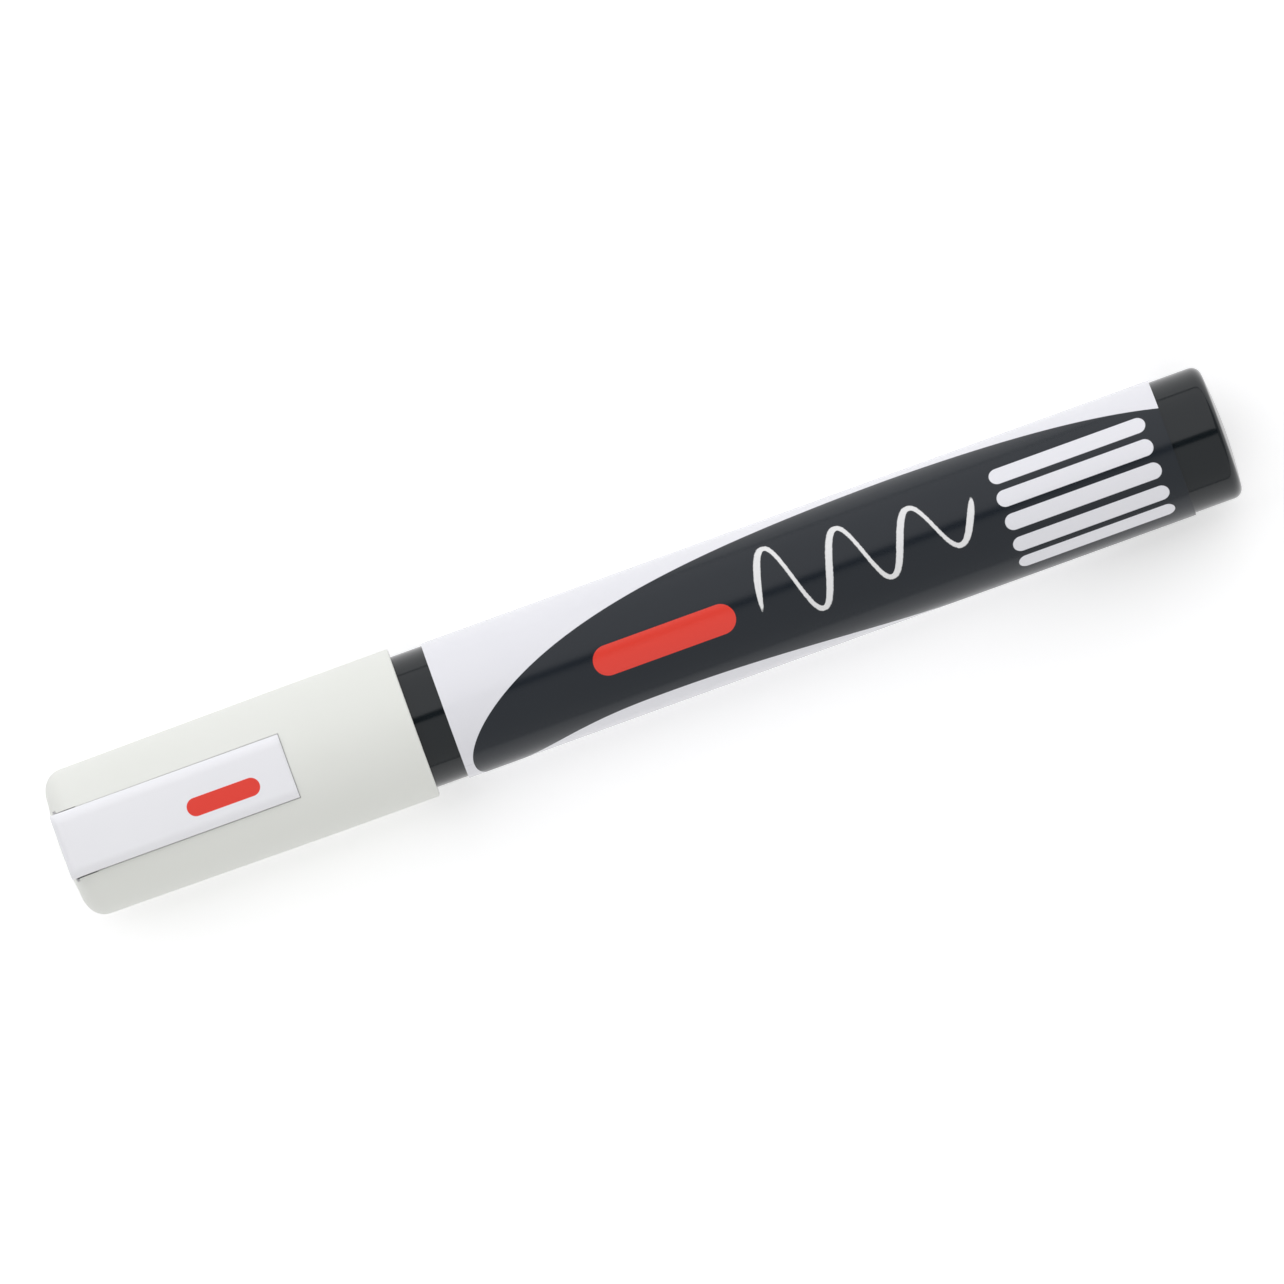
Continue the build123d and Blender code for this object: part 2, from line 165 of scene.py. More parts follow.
def makeTurnedTree():  # turns an outline of (along, radius) points about the marker's axis
    tree, given = openTree(
        "turnedPiece",
        {
            "Outline": "Geometry",
            "Steps Round": "Int",
            "Axis Height": "Float",
            "Start Angle": "Float",
            "Sweep": "Float",
            "Lap Rise": "Float",
            "Lap Ramp": "Float",
            "Finish": "Material",
        },
    )
    steps = given["Steps Round"]
    rows = Wire.add(
        tree,
        "GeometryNodeAttributeDomainSize",
        {"component": "MESH"},
        {"Geometry": given["Outline"]},
        "Point Count",
    )
    columns = steps + 1
    grid = Wire.add(tree, "GeometryNodeMeshGrid", feeds={"Vertices X": rows, "Vertices Y": columns})
    index = Wire.add(tree, "GeometryNodeInputIndex")
    row = ((index + 0.5) / columns).calc("FLOOR")
    share = (index - row * columns) / steps
    place = Wire.add(tree, "GeometryNodeInputPosition")
    sample = Wire.add(
        tree,
        "GeometryNodeSampleIndex",
        {"data_type": "FLOAT_VECTOR", "domain": "POINT"},
        {"Geometry": given["Outline"], "Value": place, "Index": row},
    )
    point = Wire.add(tree, "ShaderNodeSeparateXYZ", feeds={"Vector": sample}, out="X").socket.node
    swept = share * given["Sweep"]
    lap = Wire.add(
        tree,
        "ShaderNodeMapRange",
        {"interpolation_type": "SMOOTHSTEP"},
        {
            "Value": swept,
            "From Min": fullTurn - given["Lap Ramp"],
            "From Max": fullTurn,
            "To Min": 0.0,
            "To Max": given["Lap Rise"],
        },
    )
    radius = Wire(point.outputs["Y"]) + lap
    angle = given["Start Angle"] + swept
    spot = Wire.add(
        tree,
        "ShaderNodeCombineXYZ",
        feeds={
            "X": Wire(point.outputs["X"]),
            "Y": radius * angle.calc("SINE"),
            "Z": radius * angle.calc("COSINE") + given["Axis Height"],
        },
    )
    turned = Wire.add(tree, "GeometryNodeSetPosition", feeds={"Geometry": grid, "Position": spot})
    noted = Wire.add(
        tree,
        "GeometryNodeStoreNamedAttribute",
        {"data_type": "FLOAT", "domain": "POINT"},
        {"Geometry": turned, "Name": "turnShare", "Value": share},
    )
    joined = Wire.add(tree, "GeometryNodeMergeByDistance", feeds={"Geometry": noted, "Distance": 2e-7})
    return closeTree(tree, joined, given["Finish"])


def makeRingTree():  # a ring of straight rods along the marker, such as drills for a ring of holes
    tree, given = openTree(
        "ringOfRods",
        {
            "Count": "Int",
            "Circle Radius": "Float",
            "Rod Radius": "Float",
            "Length": "Float",
            "Middle": "Float",
            "Axis Height": "Float",
            "Finish": "Material",
        },
    )
    circle = Wire.add(
        tree,
        "GeometryNodeMeshCircle",
        feeds={"Vertices": given["Count"], "Radius": given["Circle Radius"]},
    )
    rod = Wire.add(
        tree,
        "GeometryNodeMeshCylinder",
        feeds={"Vertices": 20, "Radius": given["Rod Radius"], "Depth": given["Length"]},
    )
    ring = Wire.add(tree, "GeometryNodeInstanceOnPoints", feeds={"Points": circle, "Instance": rod})
    laid = layAlongMarker(tree, ring, given["Middle"], given["Axis Height"])
    return closeTree(tree, laid, given["Finish"])


def makeCoilTree():  # an open coil of round wire along the marker
    tree, given = openTree(
        "coil",
        {
            "Turns": "Float",
            "Coil Radius": "Float",
            "Wire Radius": "Float",
            "Length": "Float",
            "Start": "Float",
            "Axis Height": "Float",
            "Finish": "Material",
        },
    )
    path = Wire.add(
        tree,
        "GeometryNodeCurveSpiral",
        feeds={
            "Resolution": 40,
            "Rotations": given["Turns"],
            "Start Radius": given["Coil Radius"],
            "End Radius": given["Coil Radius"],
            "Height": given["Length"],
        },
    )
    section = Wire.add(
        tree,
        "GeometryNodeCurvePrimitiveCircle",
        feeds={"Resolution": 14, "Radius": given["Wire Radius"]},
    )
    wire = Wire.add(
        tree,
        "GeometryNodeCurveToMesh",
        feeds={"Curve": path, "Profile Curve": section, "Fill Caps": True},
    )
    laid = layAlongMarker(tree, wire, given["Start"], given["Axis Height"])
    return closeTree(tree, laid, given["Finish"])


turnedTree = makeTurnedTree()
ringTree = makeRingTree()
coilTree = makeCoilTree()
print("node trees: turned pieces, rings of rods, coil")


# Meshes

def newPiece(name, points, faces=()):
    mesh = bpy.data.meshes.new(name)
    mesh.from_pydata(points, [], faces)
    piece = bpy.data.objects.new(name, mesh)
    scene.collection.objects.link(piece)
    return piece


def growPiece(piece, tree, values):  # runs a tree on a piece and keeps the result as its plain mesh
    modifier = piece.modifiers.new(tree.name, "NODES")
    modifier.node_group = tree
    for item in tree.interface.items_tree:
        if item.in_out == "INPUT" and item.name in values:
            modifier[item.identifier] = values[item.name]
    return keepResult(piece)


def keepResult(piece):
    graph = bpy.context.evaluated_depsgraph_get()
    made = bpy.data.meshes.new_from_object(piece.evaluated_get(graph))
    piece.modifiers.clear()
    old = piece.data
    piece.data = made
    bpy.data.meshes.remove(old)
    made.name = piece.name
    return piece


def tidyMesh(piece, sharpAngle=34):  # closed, facing out, smooth but for its sharp edges
    work = bmesh.new()
    work.from_mesh(piece.data)
    bmesh.ops.remove_doubles(work, verts=work.verts, dist=1e-7)
    bmesh.ops.dissolve_degenerate(work, dist=1e-8, edges=work.edges)
    openEdges = [edge for edge in work.edges if edge.is_boundary]
    if openEdges:
        bmesh.ops.holes_fill(work, edges=openEdges)
    bmesh.ops.recalc_face_normals(work, faces=work.faces)
    for face in work.faces:
        face.smooth = True
    for edge in work.edges:
        edge.smooth = edge.calc_face_angle(0) < math.radians(sharpAngle)
    work.to_mesh(piece.data)
    work.free()
    return piece


def outline(corners, closed=False, stepsPerTurn=40, guard=0.15):  # corners are (along, radius, rounding)
    points = []
    count = len(corners)
    for number, corner in enumerate(corners):
        here = Vector(corner[:2])
        rounding = corner[2] if len(corner) > 2 else 0
        if not rounding:
            points.append(here)
            continue
        before = Vector(corners[number - 1][:2]) - here
        after = Vector(corners[(number + 1) % count][:2]) - here
        half = before.angle(after) / 2
        setback = rounding / math.tan(half)
        middle = here + (before.normalized() + after.normalized()).normalized() * rounding / math.sin(half)
        first = here + before.normalized() * setback
        last = here + after.normalized() * setback
        arcSteps = max(3, round((math.pi - 2 * half) / fullTurn * stepsPerTurn))
        points.append(first + before.normalized() * min(guard, (before.length - setback) / 3))
        for step in range(arcSteps + 1):
            points.append(middle + (first - middle).slerp(last - middle, step / arcSteps) * rounding)
        points.append(last + after.normalized() * min(guard, (after.length - setback) / 3))
    return points + points[:1] if closed else points


def arc(middle, reachAlong, reachOut, startAngle, endAngle, steps):  # points of an ellipse, angles in degrees
    points = []
    for step in range(steps + 1):
        angle = math.radians(startAngle + (endAngle - startAngle) * step / steps)
        points.append((middle[0] + reachAlong * math.cos(angle), middle[1] + reachOut * math.sin(angle)))
    return points


def turnPiece(
    name,
    points,
    finish,
    height=axisHeight,
    steps=168,
    startAngle=0.0,
    sweep=fullTurn,
    lap=(0.0, 0.1),  # mm that a wrap rises over its own start, and the angle of that ramp
):
    piece = newPiece(name, [(markerStart + along * mm, radius * mm, 0) for along, radius in points])
    values = {
        "Steps Round": steps,
        "Axis Height": height,
        "Start Angle": startAngle,
        "Sweep": sweep,
        "Lap Rise": lap[0] * mm,
        "Lap Ramp": lap[1],
        "Finish": finish,
    }
    return tidyMesh(growPiece(piece, turnedTree, values))


def cutAway(piece, cutters):  # takes the cutters' shapes out of a piece
    for cutter in cutters:
        cut = piece.modifiers.new("cut", "BOOLEAN")
        cut.operation = "DIFFERENCE"
        cut.solver = "EXACT"
        cut.object = cutter
    keepResult(piece)
    for cutter in cutters:
        bpy.data.objects.remove(cutter)
    return tidyMesh(piece)


def barAcross(name, sideAt, stations):  # skins the outlines of (along, height) at each station across, in mm
    points = []
    for across in stations:
        side = sideAt(across)
        for along, height in side:
            points.append((markerStart + along * mm, across * mm, axisHeight + height * mm))
    count = len(side)
    last = len(points) - count
    faces = [tuple(range(count)), tuple(range(last, last + count))]
    for near in range(0, last, count):
        for place in range(count):
            after = (place + 1) % count
            faces.append((near + place, near + after, near + count + after, near + count + place))
    return newPiece(name, points, faces)


def dress(piece, body, node):  # rides on its body and stands for its CAD node
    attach(piece, body)
    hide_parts(node)
    return piece


# Finishes

def paint(red, green, blue):  # a screen colour, 0 to 255, as a linear one
    linear = []
    for level in (red, green, blue):
        share = level / 255
        linear.append(share / 12.92 if share <= 0.04045 else ((share + 0.055) / 1.055) ** 2.4)
    return (*linear, 1.0)


class Finish:  # a Principled material with the wires that most finishes need
    def __init__(self, name, plain):
        self.material = bpy.data.materials.new(name)
        self.material.use_nodes = True
        self.tree = self.material.node_tree
        self.shader = self.tree.nodes["Principled BSDF"]
        for socket, value in plain.items():
            self.shader.inputs[socket].default_value = value
        self.where = Wire.add(self.tree, "ShaderNodeTexCoord", out="Object")

    def noise(self, scale, detail=2.0, stretch=(1, 1, 1), rough=0.5):
        where = Wire.add(self.tree, "ShaderNodeMapping", feeds={"Vector": self.where, "Scale": stretch})
        feeds = {"Vector": where, "Scale": scale, "Detail": detail, "Roughness": rough}
        return Wire.add(self.tree, "ShaderNodeTexNoise", feeds=feeds, out="Fac")

    def axes(self):  # wires of the place along the marker in mm, across it and above its axis in metres
        split = Wire.add(self.tree, "ShaderNodeSeparateXYZ", feeds={"Vector": self.where}).socket.node
        x, y, z = (Wire(split.outputs[name]) for name in "XYZ")
        return (x - markerStart) / mm, y, z - axisHeight

    def mix(self, share, first, second):
        feeds = {0: share, 6: first, 7: second}
        return Wire.add(self.tree, "ShaderNodeMix", {"data_type": "RGBA"}, feeds, 2)

    def tint(self, share, tones):  # between two screen colours
        return self.mix(share, *(paint(*tone) for tone in tones))

    def inside(self, distance, softness=0.05):  # 1 where the distance is below 0, with a soft edge, in mm
        return distance.calc("MULTIPLY_ADD", -1 / softness, 0.5, clamp=True)

    def colour(self, wire):
        wire.into(self.shader.inputs["Base Color"])

    def rough(self, wire):
        wire.into(self.shader.inputs["Roughness"])

    def relief(self, height, depth):  # depth in metres for a height of 1
        feeds = {"Height": height, "Distance": depth, "Strength": 1.0}
        Wire.add(self.tree, "ShaderNodeBump", feeds=feeds).into(self.shader.inputs["Normal"])


def barDistance(along, out, middle, length, height):  # mm outside a bar with round ends
    reachAlong = (abs(along - middle[0]) - (length - height) / 2).calc("MAXIMUM", 0)
    return (reachAlong ** 2 + (out - middle[1]) ** 2) ** 0.5 - height / 2


def makeFinish(name, looks):  # two close tones, roughness and relief, each led by a pattern of noise
    finish = Finish(name, looks["shader"])
    patterns = {kind: finish.noise(**sizes) for kind, sizes in looks["patterns"].items()}
    finish.colour(finish.tint(patterns[looks["tintBy"]], looks["tones"]))
    rough = looks["rough"]
    for kind, amount in looks["roughBy"].items():
        rough = patterns[kind] * amount + rough
    finish.rough(rough)
    finish.relief(patterns[looks["reliefBy"]], looks["depth"])
    return finish.material


capLooks = {
    "shader": {"IOR": 1.49},
    "patterns": {"cloud": {"scale": 55, "detail": 3}, "grain": {"scale": 7000}},
    "tones": ((236, 238, 231), (240, 241, 236)),
    "tintBy": "cloud",
    "rough": 0.36,
    "roughBy": {"cloud": 0.06, "grain": 0.12},  # added where the pattern is full
    "reliefBy": "grain",
    "depth": 4e-6,  # metres
}

barrelLooks = {
    "shader": {"IOR": 1.45},
    "patterns": {"smudge": {"scale": 140, "detail": 4}, "flow": {"scale": 60, "stretch": (0.4, 3, 3)}},
    "tones": ((14, 20, 24), (18, 25, 29)),
    "tintBy": "smudge",
    "rough": 0.09,
    "roughBy": {"smudge": 0.08},
    "reliefBy": "flow",
    "depth": 1.2e-5,
}

frontLooks = {
    "shader": {"IOR": 1.5},
    "patterns": {"grain": {"scale": 5200}, "cloud": {"scale": 160, "detail": 3}},
    "tones": ((20, 22, 24), (28, 30, 32)),
    "tintBy": "cloud",
    "rough": 0.34,
    "roughBy": {"grain": 0.12},
    "reliefBy": "grain",
    "depth": 3e-6,
}

linerLooks = {
    "shader": {"IOR": 1.49},
    "patterns": {"swirl": {"scale": 220, "detail": 3, "stretch": (0.35, 1, 1)}},
    "tones": ((222, 224, 218), (232, 233, 228)),
    "tintBy": "swirl",
    "rough": 0.32,
    "roughBy": {"swirl": 0.12},
    "reliefBy": "swirl",
    "depth": 6e-6,
}

valveLooks = {
    "shader": {"IOR": 1.48},
    "patterns": {"cloud": {"scale": 300, "detail": 3}},
    "tones": ((214, 216, 214), (228, 229, 227)),
    "tintBy": "cloud",
    "rough": 0.3,
    "roughBy": {"cloud": 0.14},
    "reliefBy": "cloud",
    "depth": 8e-6,
}

sealLooks = {
    "shader": {"IOR": 1.5},
    "patterns": {"bloom": {"scale": 700, "detail": 4}},
    "tones": ((36, 36, 37), (58, 58, 58)),
    "tintBy": "bloom",
    "rough": 0.66,
    "roughBy": {"bloom": 0.2},
    "reliefBy": "bloom",
    "depth": 1.5e-5,
}

springLooks = {
    "shader": {"Metallic": 1.0},
    "patterns": {"drawn": {"scale": 3800, "detail": 3}},
    "tones": ((186, 187, 190), (206, 207, 209)),
    "tintBy": "drawn",
    "rough": 0.24,
    "roughBy": {"drawn": 0.12},
    "reliefBy": "drawn",
    "depth": 3e-6,
}

ballLooks = {
    **springLooks,  # the same steel, ground
    "patterns": {"drawn": {"scale": 3800, "detail": 3, "stretch": (0.2, 1, 1)}},
    "rough": 0.08,
}

clipLooks = {
    "shader": {"IOR": 1.5},
    "cloud": {"scale": 90},
    "ripple": {"scale": 400, "detail": 1},
    "tones": ((246, 246, 250), (249, 249, 252)),
    "rough": 0.2,
    "cloudRough": 0.06,
    "depth": 2e-6,
    "markMiddle": (19.25, -0.84),  # red bar: mm along the marker and across it
    "markLength": 8.6,
    "markHeight": 2.1,
    "markAbove": 8.9,  # mm above the axis
    "markColour": (238, 64, 50),
    "markRough": 0.12,
    "markRise": 0.6,  # in depths
}


def makeClipFinish(looks):
    finish = Finish("clipWhite", looks["shader"])
    along, across, up = finish.axes()
    cloud = finish.noise(**looks["cloud"])
    ripple = finish.noise(**looks["ripple"])
    mark = barDistance(along, across / mm, looks["markMiddle"], looks["markLength"], looks["markHeight"])
    ink = finish.inside(mark) * up.calc("GREATER_THAN", looks["markAbove"] * mm)
    plastic = finish.tint(cloud, looks["tones"])
    finish.colour(finish.mix(ink, plastic, paint(*looks["markColour"])))
    finish.rough(looks["rough"] + cloud * looks["cloudRough"] + ink * looks["markRough"])
    finish.relief(ripple + ink * looks["markRise"], looks["depth"])
    return finish.material


nibLooks = {
    "shader": {"IOR": 1.45},
    "strands": {"scale": 9000, "detail": 3, "stretch": (0.035, 1, 1), "rough": 0.65},
    "fleck": {"scale": 5200},
    "fibreTones": ((196, 192, 182), (233, 230, 222)),
    "chalkTones": ((238, 238, 236), (248, 248, 247)),
    "wetTo": 18.0,  # mm along the marker that the chalk has soaked
    "wetEdge": 2.2,  # mm over which it fades
    "wetFray": 2.4,
    "wetCover": 0.85,
    "rough": 0.78,
    "strandRough": 0.2,
    "strandRise": 0.7,  # share of the relief; the flecks have the rest
    "depth": 4e-5,
}


def makeNibFinish(looks):
    finish = Finish("nibFibre", looks["shader"])
    along = finish.axes()[0]
    strands = finish.noise(**looks["strands"])
    fleck = finish.noise(**looks["fleck"])
    soaked = finish.inside(along - looks["wetTo"] + (fleck - 0.5) * looks["wetFray"], looks["wetEdge"])
    fibre = finish.tint(strands, looks["fibreTones"])
    chalk = finish.tint(fleck, looks["chalkTones"])
    finish.colour(finish.mix(soaked * looks["wetCover"], fibre, chalk))
    finish.rough(looks["rough"] + strands * looks["strandRough"])
    finish.relief(strands * looks["strandRise"] + fleck * (1 - looks["strandRise"]), looks["depth"])
    return finish.material


labelPrint = {
    "shader": {"IOR": 1.45},
    "cloud": {"scale": 70},
    "ripple": {"scale": 260, "stretch": (0.5, 1, 1)},
    "filmTones": ((240, 240, 245), (236, 236, 241)),
    "panelTones": ((17, 25, 34), (20, 28, 37)),
    "rough": 0.2,
    "cloudRough": 0.05,
    "depth": 5e-6,
    "panelRise": 0.15,  # in depths
    "roll": 1.4,  # degrees from the clip to the line that faces the photo's camera
    "leafMiddle": 101.0,  # the black panel is a leaf round this place, in mm along the marker
    "leafLeft": 54.2,
    "leafRight": 48.7,
    "leafBlunt": 1.75,  # 2 would be an ellipse
    "leafLine": -56.0,  # degrees round the marker from the top, up in the photo's view
    "leafUp": 124.5,
    "leafDown": 160.0,
    "archMiddle": 70.5,  # white arch that cuts into the panel from below
    "archTop": -54.3,
    "archLeft": (0.0099, 2.785),  # its fall: degrees, times this power of the mm from its middle
    "archRight": (0.029, 2.0),
    "archCorner": 30.0,  # rounding of the panel's lower left corner, in degrees
    "barMiddle": 120.95,  # five bare bars
    "barLength": 18.5,
    "barHeight": 1.93,
    "barAngles": (27.2, 7.4, -12.6, -33.1, -52.7),
    "barColour": (240, 240, 245),
    "redMiddle": (71.5, -0.9),
    "redLength": 16.8,
    "redHeight": 3.5,
    "redColour": (238, 66, 52),
    "waveStart": 83.2,  # chalk stroke
    "waveEnd": 108.8,
    "waveLength": 8.4,
    "waveRise": 4.9,  # at its start
    "waveFade": 0.09,  # lost in each mm
    "waveWidth": 0.62,
    "wavePress": 0.2,  # wider on its way up
    "waveLevel": 0.6,
    "waveEdge": 0.08,
    "waveColour": (238, 238, 238),
    "waveRough": 0.12,
    "dust": {"scale": 2600, "detail": 3, "rough": 0.7},
    "dustFray": 0.16,  # mm that the dust eats into the stroke's edge
}


def makeLabelFinish(art):
    finish = Finish("labelFilm", art["shader"])
    along, across, up = finish.axes()
    turn = across.calc("ARCTAN2", up) + math.radians(art["roll"])  # 0 facing the photo's camera
    angle = turn * (180 / math.pi)
    out = turn * labelRadius  # mm round the film
    perDegree = labelRadius * math.pi / 180

    offset = along - art["leafMiddle"]
    leaf = offset.calc("MAXIMUM", 0) / art["leafRight"] + offset.calc("MINIMUM", 0) / art["leafLeft"]
    leafBow = (1 - abs(leaf) ** art["leafBlunt"]).calc("MAXIMUM", 0) ** 0.5
    over = angle - (leafBow * art["leafUp"] + art["leafLine"])
    under = art["leafLine"] - leafBow * art["leafDown"] - angle
    offset = along - art["archMiddle"]
    fall = None
    for sign, (rate, power) in ((-1, art["archLeft"]), (1, art["archRight"])):
        part = (offset * sign).calc("MAXIMUM", 0) ** power * rate
        fall = part if fall is None else fall + part
    cutOut = art["archTop"] - fall - angle
    edge = over.calc("MAXIMUM", under).calc("SMOOTH_MAX", cutOut, art["archCorner"]) * perDegree
    panel = finish.inside(edge)

    bars = None
    for barAngle in art["barAngles"]:
        middle = (art["barMiddle"], barAngle * perDegree)
        bar = barDistance(along, out, middle, art["barLength"], art["barHeight"])
        bars = bar if bars is None else bars.calc("MINIMUM", bar)
    bars = finish.inside(bars)

    red = finish.inside(barDistance(along, out, art["redMiddle"], art["redLength"], art["redHeight"]))

    pace = fullTurn / art["waveLength"]
    phase = (along - art["waveStart"]) * pace
    reachUp = art["waveRise"] - (along - art["waveStart"]) * art["waveFade"]
    slope = phase.calc("COSINE") * reachUp * pace
    rise = out - art["waveLevel"] - phase.calc("SINE") * reachUp
    strokeGap = abs(rise) / (slope ** 2 + 1) ** 0.5
    endGap = (art["waveStart"] - along).calc("MAXIMUM", along - art["waveEnd"]).calc("MAXIMUM", 0)
    dust = finish.noise(**art["dust"])
    halfWidth = art["waveWidth"] / 2 + phase.calc("COSINE") * (art["wavePress"] / 2)
    stroke = (strokeGap ** 2 + endGap ** 2) ** 0.5 - halfWidth + (dust - 0.5) * art["dustFray"]
    chalk = finish.inside(stroke, art["waveEdge"])

    cloud = finish.noise(**art["cloud"])
    shown = finish.mix(panel, finish.tint(cloud, art["filmTones"]), finish.tint(cloud, art["panelTones"]))
    for ink, colour in ((red, "redColour"), (bars, "barColour"), (chalk, "waveColour")):
        shown = finish.mix(ink * panel, shown, paint(*art[colour]))
    finish.colour(shown)
    ripple = finish.noise(**art["ripple"])
    finish.rough(art["rough"] + cloud * art["cloudRough"] + chalk * panel * art["waveRough"])
    finish.relief(ripple + panel * art["panelRise"], art["depth"])
    return finish.material


capFinish = makeFinish("capWhite", capLooks)
clipFinish = makeClipFinish(clipLooks)
barrelFinish = makeFinish("barrelBlack", barrelLooks)
frontFinish = makeFinish("frontBlack", frontLooks)
linerFinish = makeFinish("linerNatural", linerLooks)
nibFinish = makeNibFinish(nibLooks)
valveFinish = makeFinish("valveAcetal", valveLooks)
sealFinish = makeFinish("sealRubber", sealLooks)
springFinish = makeFinish("springSteel", springLooks)
ballFinish = makeFinish("ballSteel", ballLooks)
labelFinish = makeLabelFinish(labelPrint)
print("finishes:", len(bpy.data.materials))


# Barrel

barrelSizes = {
    "wall": 1.25,
    "landRise": 0.15,
    "frontEdge": 0.3,
    "backEdge": 0.12,
    "tailDome": 0.55,
    "tailRounding": 1.2,
    "tailWall": 1.5,
    "tankRounding": 0.8,
    "gateRadius": 1.5,  # moulding point in the middle of the tail
    "gateDepth": 0.22,
    "gateEdge": 0.06,
    "nubRadius": 0.55,
    "nubRise": 0.1,
    "nubEdge": 0.05,
    "nubFoot": 0.04,
    "landEdge": 0.03,
    "domeShares": (0.4, 0.55, 0.7),  # places on the dome, as shares of its radius
}


def makeBarrel(sizes):
    start, end, landRadius = reach("barrel")
    radius = landRadius - sizes["landRise"]
    bore = radius - sizes["wall"]
    rim = end - sizes["tailDome"]
    sphere = (radius ** 2 + sizes["tailDome"] ** 2) / (2 * sizes["tailDome"])

    def dome(out):
        return end - sphere + math.sqrt(sphere ** 2 - out ** 2)

    gate = sizes["gateRadius"]
    nub = sizes["nubRadius"]
    floor = end - sizes["gateDepth"]
    nubTop = floor + sizes["nubRise"]
    corners = [
        (nubTop, 0),
        (nubTop, nub, sizes["nubEdge"]),
        (floor, nub, sizes["nubFoot"]),
        (floor, gate, sizes["gateEdge"]),
        (dome(gate), gate, sizes["gateEdge"]),
        *((dome(radius * share), radius * share) for share in sizes["domeShares"]),
        (rim, radius, sizes["tailRounding"]),
        (labelEnd, radius),
        (labelEnd, landRadius, sizes["landEdge"]),
        (labelStart, landRadius, sizes["landEdge"]),
        (labelStart, radius),
        (start, radius, sizes["frontEdge"]),
        (start, bore, sizes["backEdge"]),
        (end - sizes["tailWall"], bore, sizes["tankRounding"]),
        (end - sizes["tailWall"], 0),
    ]
    return turnPiece("barrelShell", outline(corners), barrelFinish)


barrelShell = makeBarrel(barrelSizes)


# Label

filmSizes = {
    "thickness": 0.1,
    "edge": 0.03,
    "seam": 192.0,  # degrees round the marker
    "overlap": 24.0,
    "ramp": 5.0,
    "lapShare": 1.05,  # rise of the overlap, in thicknesses
}


def makeLabel(sizes):
    inner = labelRadius - sizes["thickness"]
    corners = [
        (labelStart, inner),
        (labelStart, labelRadius, sizes["edge"]),
        (labelEnd, labelRadius, sizes["edge"]),
        (labelEnd, inner),
    ]
    return turnPiece(
        "labelFilm",
        outline(corners, closed=True, guard=0.05),
        labelFinish,
        startAngle=math.radians(sizes["seam"]),
        sweep=fullTurn + math.radians(sizes["overlap"]),
        lap=(sizes["thickness"] * sizes["lapShare"], math.radians(sizes["ramp"])),
    )


labelFilm = makeLabel(filmSizes)
print("barrel and label")


# Front section and nib

frontSizes = {
    "bore": 2.05,
    "tipRadius": 3.1,
    "tipEdge": 0.25,
    "coneRadius": 4.6,
    "coneLength": 7.8,
    "sealRadius": 4.85,
    "sealLength": 4.0,
    "shoulder": 0.8,
    "neckRadius": 6.85,
    "beadRise": 0.25,
    "beadLength": 1.6,
    "beadStart": 34.01,
    "flangeRadius": 7.3,
    "flangeLength": 1.4,
    "skirtRadius": 6.36,
    "skirtWall": 0.9,
    "skirtHollow": 0.65,
    "hollowStart": 1.6,
    "plugLength": 10.0,
    "valveBore": 3.9,
    "seatStart": 36.0,
    "chamberRadius": 2.7,
    "chamberStart": 31.0,
    "ribRise": 0.12,
    "ribLength": 1.2,
    "ribs": 2,
    "vents": 4,
    "ventRadius": 0.35,
    "ventLength": 5.0,
    "fineEdge": 0.06,
    "edge": 0.1,
    "softEdge": 0.12,
    "roundEdge": 0.2,
}


def bulge(start, length, radius, rise):  # round ring on a cylinder
    shares = ((0, 0), (0.22, 0.7), (0.5, 1), (0.78, 0.7), (1, 0))  # of its length and its rise
    return [(start + length * along, radius + rise * out) for along, out in shares]


def ringOfRods(name, count, circle, rodRadius, start, length):
    rods = newPiece(name, [])
    values = {
        "Count": count,
        "Circle Radius": circle * mm,
        "Rod Radius": rodRadius * mm,
        "Length": length * mm,
        "Middle": markerStart + (start + length / 2) * mm,
        "Axis Height": axisHeight,
        "Finish": frontFinish,
    }
    return growPiece(rods, ringTree, values)


